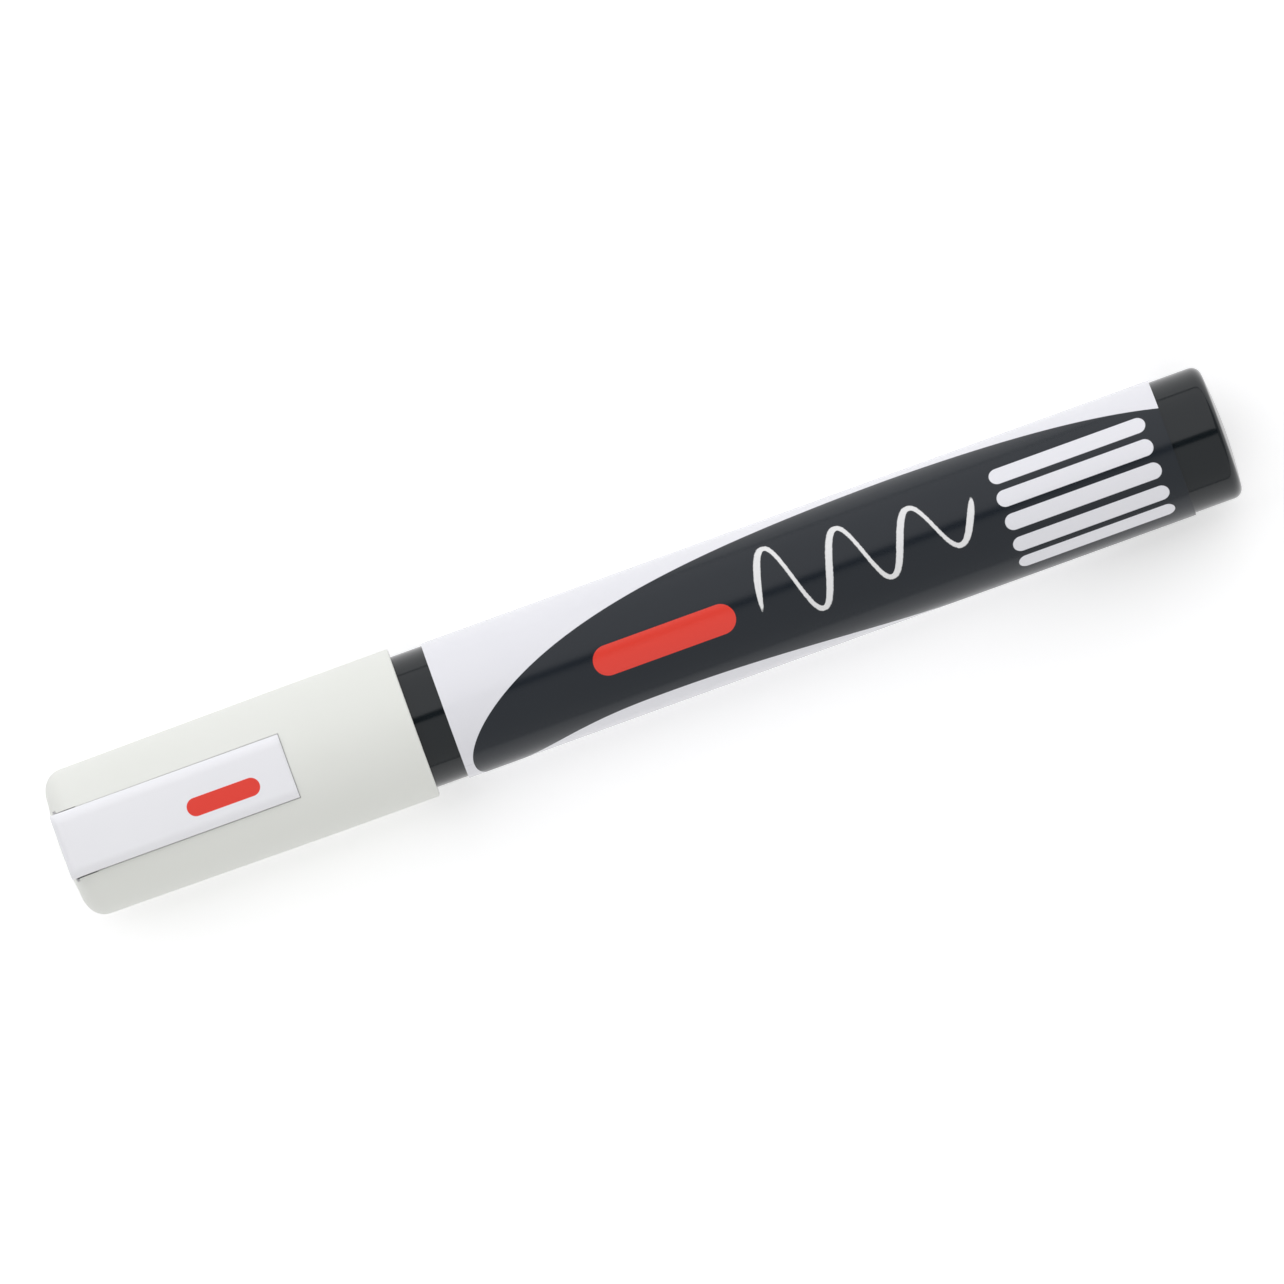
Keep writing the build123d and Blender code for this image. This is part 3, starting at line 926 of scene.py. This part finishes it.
def makeFront(sizes):
    tip, back = reach("front_section")[:2]
    flangeBack = back - sizes["plugLength"]
    flangeFront = flangeBack - sizes["flangeLength"]
    seal = tip + sizes["coneLength"]
    sealBack = seal + sizes["sealLength"]
    coreOuter = sizes["skirtRadius"] - sizes["skirtWall"]
    coreInner = coreOuter - sizes["skirtHollow"]
    hollow = flangeBack + sizes["hollowStart"]
    corners = [
        (tip, sizes["bore"], sizes["softEdge"]),
        (tip, sizes["tipRadius"], sizes["tipEdge"]),
        (seal, sizes["coneRadius"]),
        (seal, sizes["sealRadius"], sizes["edge"]),
        (sealBack, sizes["sealRadius"], sizes["roundEdge"]),
        (sealBack + sizes["shoulder"], sizes["neckRadius"], sizes["roundEdge"]),
        *bulge(sizes["beadStart"], sizes["beadLength"], sizes["neckRadius"], sizes["beadRise"]),
        (flangeFront, sizes["neckRadius"]),
        (flangeFront, sizes["flangeRadius"], sizes["softEdge"]),
        (flangeBack, sizes["flangeRadius"], sizes["fineEdge"]),
        (flangeBack, sizes["skirtRadius"]),
    ]
    for rib in range(sizes["ribs"]):
        middle = flangeBack + (rib + 1) * sizes["plugLength"] / (sizes["ribs"] + 1)
        ribStart = middle - sizes["ribLength"] / 2
        corners += bulge(ribStart, sizes["ribLength"], sizes["skirtRadius"], sizes["ribRise"])
    corners += [
        (back, sizes["skirtRadius"], sizes["roundEdge"]),
        (back, coreOuter, sizes["edge"]),
        (hollow, coreOuter),
        (hollow, coreInner),
        (back, coreInner, sizes["edge"]),
        (back, sizes["valveBore"], sizes["edge"]),
        (sizes["seatStart"], sizes["valveBore"]),
        (sizes["seatStart"], sizes["chamberRadius"]),
        (sizes["chamberStart"], sizes["chamberRadius"]),
        (sizes["chamberStart"], sizes["bore"]),
    ]
    piece = turnPiece("frontSection", outline(corners, closed=True, guard=0.1), frontFinish)
    ventStart, ventDrill = tip - overrun, sizes["ventLength"] + overrun
    vents = ringOfRods("vents", sizes["vents"], sizes["bore"], sizes["ventRadius"], ventStart, ventDrill)
    return cutAway(piece, [vents])


frontSection = makeFront(frontSizes)

nibSizes = {"tipRadius": 1.0, "lean": 25.0, "shoulder": 0.6, "backEdge": 0.2}  # the cone's lean in degrees


def makeNib(sizes):
    tip, back, radius = reach("nib")
    middle = (tip + sizes["tipRadius"], 0)
    turnEnd = 90 + sizes["lean"]
    ball = arc(middle, sizes["tipRadius"], sizes["tipRadius"], 180, turnEnd, 12)
    tangent = ball[-1]
    coneEnd = tangent[0] + (radius - tangent[1]) / math.tan(math.radians(sizes["lean"]))
    corners = [*ball, (coneEnd, radius, sizes["shoulder"]), (back, radius, sizes["backEdge"]), (back, 0)]
    return turnPiece("nibBullet", outline(corners), nibFinish, steps=120)


nibBullet = makeNib(nibSizes)
print("front section and nib")


# Valve and ball

seatSizes = {"hole": 1.35, "cone": 2.3, "innerEdge": 0.1, "outerEdge": 0.2}


def makeSeat(sizes):
    start, end, radius = reach("valve_seat")
    depth = sizes["cone"] - sizes["hole"]
    corners = [
        (start, sizes["hole"], sizes["innerEdge"]),
        (start, radius, sizes["outerEdge"]),
        (end, radius, sizes["outerEdge"]),
        (end, sizes["cone"], sizes["innerEdge"]),
        (end - depth, sizes["hole"], sizes["innerEdge"]),
    ]
    return turnPiece("valveSeat", outline(corners, closed=True, guard=0.08), sealFinish, steps=96)


stemSizes = {
    "radius": 1.0,
    "headThickness": 1.2,
    "headGap": 0.05,  # from the back of the seat
    "pinRadius": 0.85,
    "tipEdge": 0.15,
    "footEdge": 0.1,
    "headEdge": 0.12,
    "pinEdge": 0.25,
}


def makeStem(sizes):
    start, end, headRadius = reach("valve_stem")
    seatEnd = reach("valve_seat")[1]
    headFront = seatEnd + sizes["headGap"]
    headBack = headFront + sizes["headThickness"]
    corners = [
        (start, 0),
        (start, sizes["radius"], sizes["tipEdge"]),
        (headFront - (headRadius - sizes["radius"]), sizes["radius"], sizes["footEdge"]),
        (headFront, headRadius, sizes["headEdge"]),
        (headBack, headRadius, sizes["headEdge"]),
        (headBack, sizes["pinRadius"], sizes["footEdge"]),
        (end, sizes["pinRadius"], sizes["pinEdge"]),
        (end, 0),
    ]
    return turnPiece("valveStem", outline(corners, guard=0.06), valveFinish, steps=96)


housingSizes = {
    "wall": 0.8,
    "floor": 1.4,
    "pinHole": 0.9,
    "inlets": 4,
    "inletRadius": 0.45,
    "inletCircle": 2.53,
    "inletDrill": 3.4,  # length of the drills
    "edge": 0.1,
    "mouthEdge": 0.15,
    "backEdge": 0.35,
    "pinEdge": 0.06,
    "cupEdge": 0.3,
}


def makeHousing(sizes):
    start, end, radius = reach("valve_housing")
    inner = radius - sizes["wall"]
    floor = end - sizes["floor"]
    corners = [
        (start, inner, sizes["edge"]),
        (start, radius, sizes["mouthEdge"]),
        (end, radius, sizes["backEdge"]),
        (end, sizes["pinHole"], sizes["edge"]),
        (floor, sizes["pinHole"], sizes["pinEdge"]),
        (floor, inner, sizes["cupEdge"]),
    ]
    piece = turnPiece("valveHousing", outline(corners, closed=True, guard=0.08), valveFinish, steps=96)
    circle, inlet = sizes["inletCircle"], sizes["inletRadius"]
    drills = ringOfRods("drills", sizes["inlets"], circle, inlet, floor - overrun, sizes["inletDrill"])
    return cutAway(piece, [drills])


springSizes = {"turns": 6.5, "radius": 1.75, "wireRadius": 0.225, "pressTravel": 1.8}


def makeSpring(sizes):
    start, end = reach("valve_spring")[:2]
    lead = sizes["wireRadius"]
    coil = newPiece("valveSpring", [])
    values = {
        "Turns": sizes["turns"],
        "Coil Radius": sizes["radius"] * mm,
        "Wire Radius": sizes["wireRadius"] * mm,
        "Length": (end - start - 2 * lead) * mm,
        "Start": markerStart + (start + lead) * mm,
        "Axis Height": axisHeight,
        "Finish": springFinish,
    }
    return tidyMesh(growPiece(coil, coilTree, values))


def makeBall():
    start, end, radius = reach("mixing_ball")
    points = arc(((start + end) / 2, 0), radius, radius, 180, 0, 40)
    points[0], points[-1] = (start, 0), (end, 0)
    return turnPiece("mixingBall", points, ballFinish, height=middleHeight("mixing_ball"), steps=72)


valveSeat = makeSeat(seatSizes)
valveStem = makeStem(stemSizes)
valveHousing = makeHousing(housingSizes)
valveSpring = makeSpring(springSizes)
mixingBall = makeBall()
print("valve, spring and ball")


# Cap, its lining and its clip

capSizes = {
    "endRadius": 8.55,
    "endDome": 0.4,
    "rimLength": 2.6,
    "rimDepth": 3.3,
    "rimSquare": 0.91,  # 1 would be an ellipse
    "rimRun": 0.4,  # from the rim to the taper
    "land": 12.0,  # straight end at the mouth
    "mouthRounding": 0.25,
    "mouthBore": 7.95,
    "mouthBoreLength": 3.8,
    "bore": 7.5,
    "ledge": 6.95,
    "ledgeEnd": 23.6,
    "cavity": 4.45,
    "snapStart": 32.81,
    "snapEnd": 34.01,
    "snapRadius": 7.15,
    "ledgeEdge": 0.1,
    "edge": 0.15,
    "cavityEdge": 0.4,
}

clipSizes = {
    "top": 9.9,  # at the root; heights are mm above the axis
    "noseTop": 9.15,
    "flat": 2.5,  # half the flat middle of the top
    "edgeDrop": 0.85,  # its long edges round off by this much
    "rootEdge": 0.85,  # rounding at the closed end
    "noseEdge": 0.45,
    "ridge": 0.12,  # where the rounding meets the side
    "pocket": 0.45,  # depth of the cap's pocket under the clip
    "pocketSlit": 0.06,
    "gap": 0.35,  # the underside follows the pocket's floor at this distance
    "root": 2.9,
    "slit": 0.2,
    "sideSlit": 0.12,
    "nickLength": 1.0,
    "nickWidth": 0.28,
    "notchFloor": 5.5,
    "cutTop": 12,  # the cutters' top
    "foot": 0.9,
    "footGap": 0.05,
    "footHeight": 5.15,
    "nubLength": 2.4,
    "nubGap": 0.15,
    "nubBevel": 0.28,
    "corner": 0.3,
}


def capRadius(along):  # of the tapered wall
    rimEnd = capStart + capSizes["endDome"] + capSizes["rimLength"]
    share = (along - rimEnd) / (capMouth - capSizes["land"] - rimEnd)
    return capSizes["endRadius"] + (capMouthRadius - capSizes["endRadius"]) * share


def makeCap(sizes, clip):
    rimEnd = capStart + sizes["endDome"] + sizes["rimLength"]
    rimMiddle = (rimEnd, sizes["endRadius"] - sizes["rimDepth"])
    crown = []
    for share in (0, 0.25, 0.5, 0.75):
        crown.append((capStart + sizes["endDome"] * share ** 2, rimMiddle[1] * share))
    rimCurve = []
    for along, out in arc((0, 0), 1, 1, 180, 90, 18):
        back, rise = abs(along) ** sizes["rimSquare"], abs(out) ** sizes["rimSquare"]
        rimCurve.append((rimMiddle[0] - sizes["rimLength"] * back, rimMiddle[1] + sizes["rimDepth"] * rise))
    taperStart = rimEnd + sizes["rimRun"]
    backStep = capMouth - sizes["mouthBoreLength"]
    corners = [
        *crown,
        *rimCurve,
        (taperStart, capRadius(taperStart)),
        (capMouth - sizes["land"], capMouthRadius),
        (capMouth, capMouthRadius, sizes["mouthRounding"]),
        (capMouth, sizes["mouthBore"], sizes["mouthRounding"]),
        (backStep, sizes["mouthBore"]),
        (backStep, sizes["bore"], sizes["edge"]),
        (sizes["snapEnd"], sizes["bore"]),
        (sizes["snapEnd"], sizes["snapRadius"], sizes["edge"]),
        (sizes["snapStart"], sizes["snapRadius"], sizes["edge"]),
        (sizes["snapStart"], sizes["bore"]),
        (sizes["ledgeEnd"], sizes["bore"]),
        (sizes["ledgeEnd"], sizes["ledge"], sizes["ledgeEdge"]),
        (sizes["cavity"], sizes["ledge"], sizes["cavityEdge"]),
        (sizes["cavity"], 0),
    ]
    piece = turnPiece("capShell", outline(corners), capFinish, steps=192)
    start, end, half = reach("cap_clip")
    wide = half + clip["sideSlit"]
    nick = wide + clip["nickWidth"]
    snug = half + clip["pocketSlit"]
    rootEnd = start + clip["root"]
    above = clip["cutTop"]

    def notchTo(far):
        floor = clip["notchFloor"]
        return lambda across: [(-overrun, floor), (far, floor), (far, above), (-overrun, above)]

    def pocketAt(across):
        floor = []
        for along in (rootEnd, end):
            floor.append(math.sqrt((capRadius(along) - clip["pocket"]) ** 2 - across ** 2))
        far = end + clip["pocketSlit"]
        return [(rootEnd, floor[0]), (far, floor[1]), (far, above), (rootEnd, above)]

    def grooveAt(across):
        room = clip["foot"] + clip["footGap"]
        return arc((start + clip["root"] / 2, clip["footHeight"]), room, room, 0, 345, 23)

    cutters = [
        barAcross("notch", notchTo(rootEnd + clip["slit"]), (-wide, wide)),
        barAcross("nick", notchTo(clip["nickLength"]), (-nick, nick)),
        barAcross("groove", grooveAt, (-wide, wide)),
        barAcross("pocket", pocketAt, [snug * (step / 12 - 1) for step in range(25)]),
    ]
    return cutAway(piece, [tidyMesh(cutter) for cutter in cutters])


def makeClip(sizes):
    start, end, half = reach("cap_clip")
    flat, rootEdge, noseEdge, corner = (sizes[name] for name in ("flat", "rootEdge", "noseEdge", "corner"))
    edgeRadius = ((half - flat) ** 2 + sizes["edgeDrop"] ** 2) / (2 * sizes["edgeDrop"])
    lean = math.asin((half - flat) / edgeRadius)
    rounded = [flat + edgeRadius * math.sin(lean * step / 10) for step in range(1, 10)] + [half]
    stations = [-across for across in reversed(rounded)] + [-flat, 0, flat] + rounded
    blockEnd = start + sizes["root"]
    block = sizes["notchFloor"] + sizes["slit"]
    nubStart, nubMiddle = end - sizes["nubLength"], end - sizes["nubLength"] / 2
    lift = sizes["gap"] - sizes["pocket"]
    nubFoot = capRadius(nubMiddle) - sizes["pocket"] + sizes["nubGap"]
    meet = math.degrees(math.asin((block - sizes["footHeight"]) / sizes["foot"]))
    footMiddle = (start + sizes["root"] / 2, sizes["footHeight"])
    foot = arc(footMiddle, sizes["foot"], sizes["foot"], meet, -180 - meet, 20)

    def sideAt(across):
        past = max(abs(across) - flat, 0)
        drop = edgeRadius - math.sqrt(edgeRadius ** 2 - past ** 2)

        def under(radius):
            return math.sqrt(radius ** 2 - across ** 2)

        low = under(capRadius(blockEnd) + lift)
        return [
            (start, block),
            *arc((start + rootEdge, sizes["top"] - drop - rootEdge), rootEdge, rootEdge, 180, 90, 8),
            *arc((end - noseEdge, sizes["noseTop"] - drop - noseEdge), noseEdge, noseEdge, 90, 0, 8),
            (end, under(nubFoot + sizes["nubBevel"])),
            (nubMiddle, under(nubFoot)),
            (nubStart, under(capRadius(nubStart) + lift)),
            *arc((blockEnd + corner, low - corner), corner, corner, 90, 180, 6),
            (blockEnd, block),
            *foot,
        ]

    piece = barAcross("capClip", sideAt, stations)
    piece.data.materials.append(clipFinish)
    tidyMesh(piece)
    work = bmesh.new()
    work.from_mesh(piece.data)
    weight = work.edges.layers.float.new("bevel_weight_edge")
    slack = 0.01
    ridgeSide = (half - slack) * mm
    ridgeFoot = axisHeight + (sizes["noseTop"] - sizes["edgeDrop"] - rootEdge - slack) * mm
    for line in work.edges:
        onRidge = all(abs(vert.co.y) > ridgeSide and vert.co.z > ridgeFoot for vert in line.verts)
        line[weight] = 1.0 if onRidge and not line.smooth else 0.0
    work.to_mesh(piece.data)
    work.free()
    bevel = piece.modifiers.new("ridge", "BEVEL")
    bevel.width = sizes["ridge"] * mm
    bevel.segments = 3
    bevel.limit_method = "WEIGHT"
    return tidyMesh(keepResult(piece))


innerCapSizes = {
    "cupRadius": 5.6,
    "cupBore": 4.7,
    "lip": 4.9,
    "lipStart": 24.6,
    "floor": 1.0,
    "flange": (23.6, 25.6),
    "backEdge": 1.0,
    "floorEdge": 0.6,
    "edge": 0.15,
    "flangeFoot": 0.2,
    "mouthEdge": 0.3,
}


def makeInnerCap(sizes):
    start, end, flangeRadius = reach("inner_cap")
    flangeStart, flangeEnd = sizes["flange"]
    corners = [
        (start, 0),
        (start, sizes["cupRadius"], sizes["backEdge"]),
        (flangeStart, sizes["cupRadius"]),
        (flangeStart, flangeRadius, sizes["edge"]),
        (flangeEnd, flangeRadius, sizes["edge"]),
        (flangeEnd, sizes["cupRadius"], sizes["flangeFoot"]),
        (end, sizes["cupRadius"], sizes["mouthEdge"]),
        (end, sizes["lip"], sizes["edge"]),
        (sizes["lipStart"], sizes["lip"]),
        (sizes["lipStart"], sizes["cupBore"]),
        (start + sizes["floor"], sizes["cupBore"], sizes["floorEdge"]),
        (start + sizes["floor"], 0),
    ]
    return turnPiece("innerCap", outline(corners), linerFinish, steps=144)


capShell = makeCap(capSizes, clipSizes)
capClip = makeClip(clipSizes)
innerCap = makeInnerCap(innerCapSizes)
print("cap, inner cap and clip")


# What each piece rides on

dress(barrelShell, "barrel", "barrel")
dress(labelFilm, "barrel", "label_film")
dress(frontSection, "barrel", "front_section")
dress(nibBullet, "nib", "nib")
dress(valveSeat, "barrel", "valve_seat")
dress(valveStem, "valve", "valve_stem")
dress(valveHousing, "barrel", "valve_housing")
dress(valveSpring, "barrel", "valve_spring")
dress(mixingBall, "ball", "mixing_ball")
dress(capShell, "cap", "cap_shell")
dress(innerCap, "cap", "inner_cap")
dress(capClip, "clip", "cap_clip")

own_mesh(valveSpring)
print("pieces ride on their bodies")


# Floor, light and camera

stageSizes = {
    "floor": 6.0,  # metres
    "floorColour": (0.92, 0.92, 0.92, 1),
    "lift": 0.35,  # how much whiter the floor shows than it is lit
    "farLift": 1.0,  # past the panels, which don't light it
    "farFrom": (0.45, 0.6),  # metres across
    "world": 0.38,
    "panelLength": 1.5,
    "panelNear": (0.045, 0.52),  # a panel's upper edge, across and up
    "panelFar": (0.62, 0.05),
    "upperLevel": 0.82,
    "lowerLevel": 0.4,
    "card": (3.0, 0.1, 0.54),  # dark card over the gap between the panels: length, width, height
}


def flatSheet(name, length, width, height):
    signs = ((-1, -1), (1, -1), (1, 1), (-1, 1))
    corners = [(along * length / 2, across * width / 2, height) for along, across in signs]
    return newPiece(name, corners, [(0, 1, 2, 3)])


def makeFloor(sizes):
    floor = flatSheet("floor", sizes["floor"], sizes["floor"], 0)
    material = bpy.data.materials.new("paleFloor")
    material.use_nodes = True
    tree = material.node_tree
    tree.nodes.clear()
    ray = Wire.add(tree, "ShaderNodeLightPath", out="Is Camera Ray").socket.node
    seen = Wire(ray.outputs["Is Camera Ray"])
    for kind in ("Is Glossy Ray", "Is Transmission Ray"):
        seen = seen.calc("MAXIMUM", Wire(ray.outputs[kind]))
    where = Wire.add(tree, "ShaderNodeTexCoord", out="Object")
    across = Wire.add(tree, "ShaderNodeSeparateXYZ", feeds={"Vector": where}, out="Y")
    near, far = sizes["farFrom"]
    ramp = {"From Min": near, "From Max": far, "To Min": sizes["lift"], "To Max": sizes["farLift"]}
    lift = Wire.add(tree, "ShaderNodeMapRange", feeds={"Value": abs(across), **ramp})
    matt = Wire.add(tree, "ShaderNodeBsdfDiffuse", feeds={"Color": sizes["floorColour"]})
    glow = Wire.add(tree, "ShaderNodeEmission", feeds={"Strength": seen * lift})
    both = Wire.add(tree, "ShaderNodeAddShader", feeds={0: matt, 1: glow})
    both.into(tree.nodes.new("ShaderNodeOutputMaterial").inputs["Surface"])
    floor.data.materials.append(material)


def makePanel(name, side, level, colour, sizes):
    near, far = Vector(sizes["panelNear"]), Vector(sizes["panelFar"])
    middle, run = (near + far) / 2, far - near
    lamp = bpy.data.lights.new(name, "AREA")
    lamp.shape = "RECTANGLE"
    lamp.size = sizes["panelLength"]
    lamp.size_y = run.length
    lamp.energy = level * math.pi * lamp.size * lamp.size_y
    lamp.color = colour
    panel = bpy.data.objects.new(name, lamp)
    panel.location = (0, side * middle.x, middle.y)
    panel.rotation_euler = (side * math.atan2(run.y, run.x), 0, 0)
    panel.visible_camera = False
    scene.collection.objects.link(panel)


def makeCard(sizes):  # its reflection is the dark line along the top of the black pieces
    card = flatSheet("gapCard", *sizes["card"])
    material = bpy.data.materials.new("darkCard")
    material.use_nodes = True
    material.node_tree.nodes["Principled BSDF"].inputs["Base Color"].default_value = (0.01, 0.01, 0.01, 1)
    card.data.materials.append(material)
    card.visible_camera = False


def makeWorld(sizes):
    world = bpy.data.worlds.new("studio")
    scene.world = world
    world.use_nodes = True
    back = world.node_tree.nodes["Background"]
    back.inputs["Color"].default_value = (1, 1, 1, 1)
    back.inputs["Strength"].default_value = sizes["world"]


cameraSizes = {
    "lens": 1000.0,
    "sensor": 36.0,
    "picture": 1284,  # pixels
    "mmPerPixel": 0.11187,  # at the axis
    "turn": 19.907,  # degrees that the marker climbs across the picture
    "roll": 1.4,  # degrees that the clip turns up from the middle of the picture
    "middle": (642.75, 639.3),  # pixel where the middle of the marker shows
}


def makeCamera(sizes):
    camera = bpy.data.cameras.new("camera")
    camera.lens = sizes["lens"]
    camera.sensor_width = sizes["sensor"]
    camera.clip_end = 50
    view = bpy.data.objects.new("camera", camera)
    distance = sizes["picture"] * sizes["mmPerPixel"] * mm / sizes["sensor"] * sizes["lens"]
    turn = math.radians(sizes["turn"])
    right = (sizes["middle"][0] - sizes["picture"] / 2) * sizes["mmPerPixel"] * mm
    up = (sizes["picture"] / 2 - sizes["middle"][1]) * sizes["mmPerPixel"] * mm
    middle = (cadBox[0] + cadBox[1]) / 2
    facing = Matrix.Rotation(math.radians(sizes["roll"]), 3, "X") @ Matrix.Rotation(-turn, 3, "Z")
    view.location = Vector((middle.x, middle.y, axisHeight)) + facing @ Vector((-right, -up, distance))
    view.rotation_euler = facing.to_euler()
    scene.collection.objects.link(view)
    scene.camera = view


makeFloor(stageSizes)
makePanel("upperPanel", 1, stageSizes["upperLevel"], (0.98, 0.98, 1.0), stageSizes)
makePanel("lowerPanel", -1, stageSizes["lowerLevel"], (1.0, 1.0, 1.0), stageSizes)
makeCard(stageSizes)
makeWorld(stageSizes)
makeCamera(cameraSizes)
scene.view_settings.view_transform = "Standard"
print("floor, light and camera")
